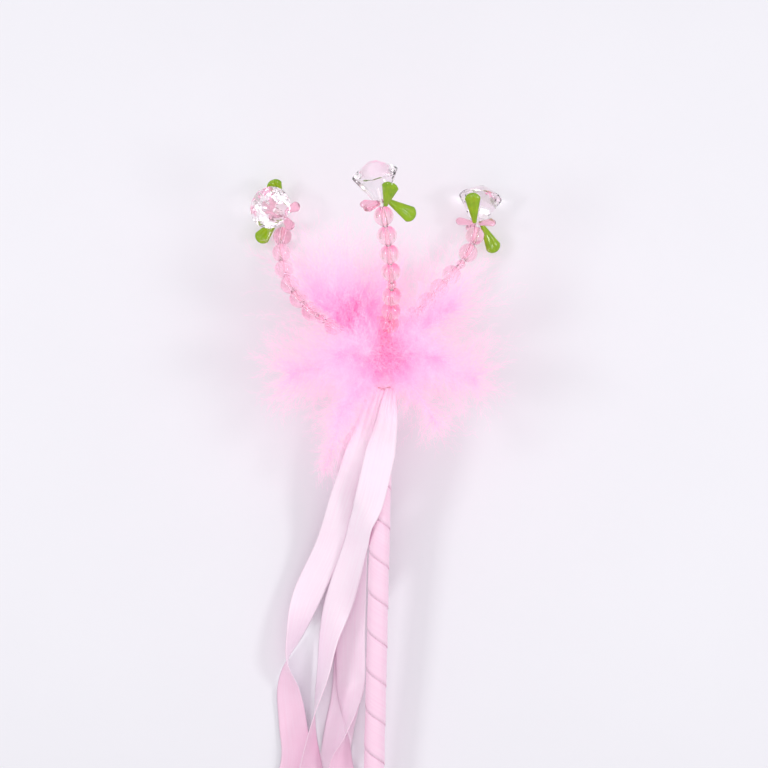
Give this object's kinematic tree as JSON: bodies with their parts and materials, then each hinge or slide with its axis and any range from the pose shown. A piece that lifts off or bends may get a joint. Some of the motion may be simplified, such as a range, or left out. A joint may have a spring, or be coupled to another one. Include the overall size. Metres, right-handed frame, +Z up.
{
  "type": "toy magic wand",
  "caption": "Ribbon-wrapped toy wand lying down, with a crown of beaded wire arms, clear cut crystals, petal and leaf beads, a feather puff and loose satin streamers",
  "frame": {"origin": "centre of the foot end of the dowel", "axes": "the wand lies as in use on a table: +Y runs level from the foot towards the crown, +Z is up, and +X is to the right seen from above; the stick slopes up by 5.60 degrees towards the crown"},
  "size_m": [0.1073, 0.3636, 0.0949],
  "materials": {
    "wood": "plain sanded birch",
    "wrap_ribbon": "pink satin ribbon",
    "streamer_ribbon": "pink satin ribbon",
    "tape": "pink craft tape",
    "wire": "bare drawn wire",
    "bead": "clear pink acrylic, polished",
    "petal": "clear pink acrylic, polished",
    "leaf": "clear yellow-green acrylic, polished",
    "crystal": "clear acrylic with flat cut facets",
    "feather": "fluffy dyed down, hot pink at the quills"
  },
  "bodies": {
    "wand": {"dowel": "wood", "stick_wrap": "wrap_ribbon", "binding": "tape", "ribbon_tie": "wrap_ribbon", "arm_wire_left": "wire", "arm_wire_center": "wire", "arm_wire_right": "wire", "petals_left": "petal", "petals_center": "petal", "petals_right": "petal", "leaf_left_upper": "leaf", "leaf_left_lower": "leaf", "leaf_center_upper": "leaf", "leaf_center_lower": "leaf", "leaf_right_upper": "leaf", "leaf_right_lower": "leaf", "crystal_left": "crystal", "crystal_center": "crystal", "crystal_right": "crystal", "feather_upper_left": "feather", "feather_upper_right": "feather", "feather_upper_back": "feather", "feather_side_left": "feather", "feather_side_right": "feather", "feather_front_left": "feather", "feather_front_right": "feather", "feather_back_left": "feather", "feather_back_right": "feather", "feather_lower_left": "feather", "feather_lower_right": "feather", "feather_hanging": "feather", "streamer_a": "streamer_ribbon", "streamer_b": "streamer_ribbon", "streamer_c": "streamer_ribbon", "streamer_d": "streamer_ribbon"},
    "bead_left_1": {"bead_left_1": "bead"},
    "bead_left_2": {"bead_left_2": "bead"},
    "bead_left_3": {"bead_left_3": "bead"},
    "bead_left_4": {"bead_left_4": "bead"},
    "bead_left_5": {"bead_left_5": "bead"},
    "bead_left_6": {"bead_left_6": "bead"},
    "bead_left_7": {"bead_left_7": "bead"},
    "bead_left_8": {"bead_left_8": "bead"},
    "bead_center_1": {"bead_center_1": "bead"},
    "bead_center_2": {"bead_center_2": "bead"},
    "bead_center_3": {"bead_center_3": "bead"},
    "bead_center_4": {"bead_center_4": "bead"},
    "bead_center_5": {"bead_center_5": "bead"},
    "bead_center_6": {"bead_center_6": "bead"},
    "bead_center_7": {"bead_center_7": "bead"},
    "bead_center_8": {"bead_center_8": "bead"},
    "bead_right_1": {"bead_right_1": "bead"},
    "bead_right_2": {"bead_right_2": "bead"},
    "bead_right_3": {"bead_right_3": "bead"},
    "bead_right_4": {"bead_right_4": "bead"},
    "bead_right_5": {"bead_right_5": "bead"},
    "bead_right_6": {"bead_right_6": "bead"},
    "bead_right_7": {"bead_right_7": "bead"},
    "bead_right_8": {"bead_right_8": "bead"}
  },
  "joints": [
    {"name": "bead_left_1_spin", "type": "hinge", "parent": "wand", "child": "bead_left_1", "pos_m": [-0.04496, 0.33797, 0.00084], "axis": [0.0909, 0.896, -0.4347], "continuous": true},
    {"name": "bead_left_2_spin", "type": "hinge", "parent": "wand", "child": "bead_left_2", "pos_m": [-0.04498, 0.3306, 0.00452], "axis": [-0.0861, 0.886, -0.4556], "continuous": true},
    {"name": "bead_left_3_spin", "type": "hinge", "parent": "wand", "child": "bead_left_3", "pos_m": [-0.04355, 0.32343, 0.00832], "axis": [-0.2604, 0.8479, -0.4619], "continuous": true},
    {"name": "bead_left_4_spin", "type": "hinge", "parent": "wand", "child": "bead_left_4", "pos_m": [-0.04071, 0.31669, 0.0121], "axis": [-0.4263, 0.7827, -0.4535], "continuous": true},
    {"name": "bead_left_5_spin", "type": "hinge", "parent": "wand", "child": "bead_left_5", "pos_m": [-0.03655, 0.31058, 0.01576], "axis": [-0.5787, 0.6926, -0.4306], "continuous": true},
    {"name": "bead_left_6_spin", "type": "hinge", "parent": "wand", "child": "bead_left_6", "pos_m": [-0.03121, 0.30532, 0.01917], "axis": [-0.7127, 0.5804, -0.394], "continuous": true},
    {"name": "bead_left_7_spin", "type": "hinge", "parent": "wand", "child": "bead_left_7", "pos_m": [-0.02648, 0.30199, 0.02153], "axis": [-0.7992, 0.4829, -0.3579], "continuous": true},
    {"name": "bead_left_8_spin", "type": "hinge", "parent": "wand", "child": "bead_left_8", "pos_m": [-0.02125, 0.2993, 0.02363], "axis": [-0.8711, 0.3765, -0.3152], "continuous": true},
    {"name": "bead_center_1_spin", "type": "hinge", "parent": "wand", "child": "bead_center_1", "pos_m": [-0.0013, 0.34188, 0.07569], "axis": [-0.2012, 0.9185, 0.3403], "continuous": true},
    {"name": "bead_center_2_spin", "type": "hinge", "parent": "wand", "child": "bead_center_2", "pos_m": [0.0002, 0.33442, 0.07252], "axis": [-0.1606, 0.8894, 0.428], "continuous": true},
    {"name": "bead_center_3_spin", "type": "hinge", "parent": "wand", "child": "bead_center_3", "pos_m": [0.00135, 0.32723, 0.06864], "axis": [-0.1183, 0.8512, 0.5114], "continuous": true},
    {"name": "bead_center_4_spin", "type": "hinge", "parent": "wand", "child": "bead_center_4", "pos_m": [0.00214, 0.3204, 0.0641], "axis": [-0.0749, 0.8043, 0.5895], "continuous": true},
    {"name": "bead_center_5_spin", "type": "hinge", "parent": "wand", "child": "bead_center_5", "pos_m": [0.00251, 0.3155, 0.06024], "axis": [-0.0414, 0.7632, 0.6448], "continuous": true},
    {"name": "bead_center_6_spin", "type": "hinge", "parent": "wand", "child": "bead_center_6", "pos_m": [0.00266, 0.31087, 0.05604], "axis": [-0.0077, 0.7178, 0.6962], "continuous": true},
    {"name": "bead_center_7_spin", "type": "hinge", "parent": "wand", "child": "bead_center_7", "pos_m": [0.00254, 0.30522, 0.05004], "axis": [0.0368, 0.6513, 0.7579], "continuous": true},
    {"name": "bead_center_8_spin", "type": "hinge", "parent": "wand", "child": "bead_center_8", "pos_m": [0.00206, 0.30014, 0.04356], "axis": [0.0809, 0.5783, 0.8118], "continuous": true},
    {"name": "bead_right_1_spin", "type": "hinge", "parent": "wand", "child": "bead_right_1", "pos_m": [0.03772, 0.33945, 0.00962], "axis": [0.2245, 0.9426, -0.2471], "continuous": true},
    {"name": "bead_right_2_spin", "type": "hinge", "parent": "wand", "child": "bead_right_2", "pos_m": [0.035, 0.33199, 0.01179], "axis": [0.4322, 0.8587, -0.2755], "continuous": true},
    {"name": "bead_right_3_spin", "type": "hinge", "parent": "wand", "child": "bead_right_3", "pos_m": [0.03184, 0.3269, 0.01355], "axis": [0.5753, 0.7656, -0.2878], "continuous": true},
    {"name": "bead_right_4_spin", "type": "hinge", "parent": "wand", "child": "bead_right_4", "pos_m": [0.028, 0.32231, 0.01536], "axis": [0.623, 0.7264, -0.2902], "continuous": true},
    {"name": "bead_right_5_spin", "type": "hinge", "parent": "wand", "child": "bead_right_5", "pos_m": [0.02286, 0.31632, 0.01776], "axis": [0.623, 0.7264, -0.2902], "continuous": true},
    {"name": "bead_right_6_spin", "type": "hinge", "parent": "wand", "child": "bead_right_6", "pos_m": [0.01772, 0.31033, 0.02015], "axis": [0.623, 0.7264, -0.2902], "continuous": true},
    {"name": "bead_right_7_spin", "type": "hinge", "parent": "wand", "child": "bead_right_7", "pos_m": [0.01258, 0.30433, 0.02254], "axis": [0.623, 0.7264, -0.2902], "continuous": true},
    {"name": "bead_right_8_spin", "type": "hinge", "parent": "wand", "child": "bead_right_8", "pos_m": [0.00744, 0.29834, 0.02494], "axis": [0.623, 0.7264, -0.2902], "continuous": true}
  ]
}
